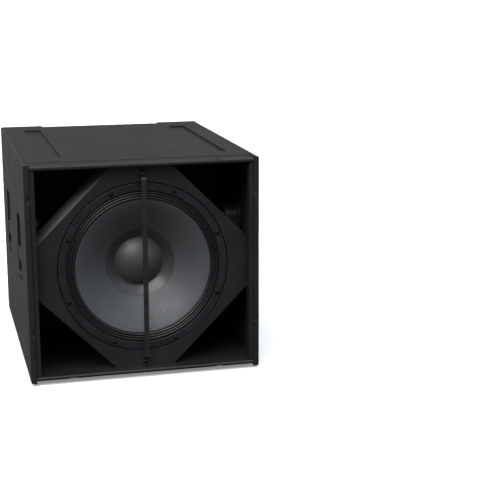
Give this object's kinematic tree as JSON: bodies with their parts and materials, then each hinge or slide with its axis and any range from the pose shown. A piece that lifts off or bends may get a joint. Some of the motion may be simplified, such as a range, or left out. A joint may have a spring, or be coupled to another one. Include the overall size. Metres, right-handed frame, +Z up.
{
  "type": "subwoofer cabinet",
  "caption": "Cardioid bass cabinet: a forward driver with corner ports, a rearward driver with box ports, hand grips, skids, pole plate and connector panel.",
  "frame": {"origin": "on the floor under the middle of the cabinet's box, at the skids' underside", "axes": "+Z up; the front (18 inch driver) faces -Y and the rear +Y; +X is to the right as seen from the front"},
  "size_m": [0.635, 0.806, 0.601],
  "materials": {
    "cabinet_paint": "fine textured slate-black paint on birch plywood, worn on the edges",
    "black_steel": "satin black powder coat",
    "black_plastic": "fine matt moulded plastic",
    "cone_paper": "coated dark grey paper",
    "surround_cloth": "sealed dark cloth half rolls",
    "spider_cloth": "resin-dipped cloth",
    "coil_wire": "enamelled wire on a former",
    "ferrite": "dull ceramic magnet",
    "zinc_steel": "zinc plated",
    "bolt_black": "black oxide, worn bright on the edges",
    "lead_rubber": "round rubber sheath"
  },
  "bodies": {
    "cabinet": {"divider_panel": "cabinet_paint", "side_panel_left": "cabinet_paint", "side_panel_right": "cabinet_paint", "top_panel": "cabinet_paint", "bottom_panel": "cabinet_paint", "front_baffle": "cabinet_paint", "corner_port_wall_upper_left": "cabinet_paint", "corner_port_wall_upper_right": "cabinet_paint", "corner_port_wall_lower_left": "cabinet_paint", "corner_port_wall_lower_right": "cabinet_paint", "rear_baffle": "cabinet_paint", "rear_pillar_left": "cabinet_paint", "rear_pillar_right": "cabinet_paint", "rear_port_duct_upper": "cabinet_paint", "rear_port_duct_lower": "cabinet_paint", "grille_rail_left": "cabinet_paint", "grille_rail_right": "cabinet_paint", "grille_support_bar": "black_steel", "pole_mount_plate": "black_steel", "front_driver_basket": "black_steel", "rear_driver_basket": "black_steel", "skid_left": "black_plastic", "skid_right": "black_plastic", "hand_grip_front_left": "black_plastic", "hand_grip_rear_left": "black_plastic", "hand_grip_front_right": "black_plastic", "hand_grip_rear_right": "black_plastic", "connector_plate": "black_plastic", "input_socket": "black_plastic", "link_socket": "black_plastic", "front_surround": "surround_cloth", "rear_surround": "surround_cloth", "front_driver_gasket": "surround_cloth", "rear_driver_gasket": "surround_cloth", "front_spider": "spider_cloth", "rear_spider": "spider_cloth", "front_magnet": "ferrite", "rear_magnet": "ferrite", "front_top_plate": "zinc_steel", "rear_top_plate": "zinc_steel", "front_yoke": "zinc_steel", "rear_yoke": "zinc_steel", "support_bar_screw_upper": "bolt_black", "support_bar_screw_lower": "bolt_black", "front_driver_bolt_1": "bolt_black", "front_driver_bolt_2": "bolt_black", "front_driver_bolt_3": "bolt_black", "front_driver_bolt_4": "bolt_black", "front_driver_bolt_5": "bolt_black", "front_driver_bolt_6": "bolt_black", "front_driver_bolt_7": "bolt_black", "front_driver_bolt_8": "bolt_black", "front_driver_lead": "lead_rubber", "rear_driver_lead": "lead_rubber"},
    "front_moving_assembly": {"front_cone": "cone_paper", "front_dust_cap": "cone_paper", "front_voice_coil": "coil_wire"},
    "rear_moving_assembly": {"rear_cone": "cone_paper", "rear_dust_cap": "cone_paper", "rear_voice_coil": "coil_wire"}
  },
  "joints": [
    {"name": "front_cone_travel", "type": "slide", "parent": "cabinet", "child": "front_moving_assembly", "axis": [0, -1, 0], "range_m": [-0.01, 0.01], "stiffness_N_per_m": 7000, "deforming": ["front_surround", "front_spider"]},
    {"name": "rear_cone_travel", "type": "slide", "parent": "cabinet", "child": "rear_moving_assembly", "axis": [0, 1, 0], "range_m": [-0.008, 0.008], "stiffness_N_per_m": 6000, "deforming": ["rear_surround", "rear_spider"]}
  ]
}
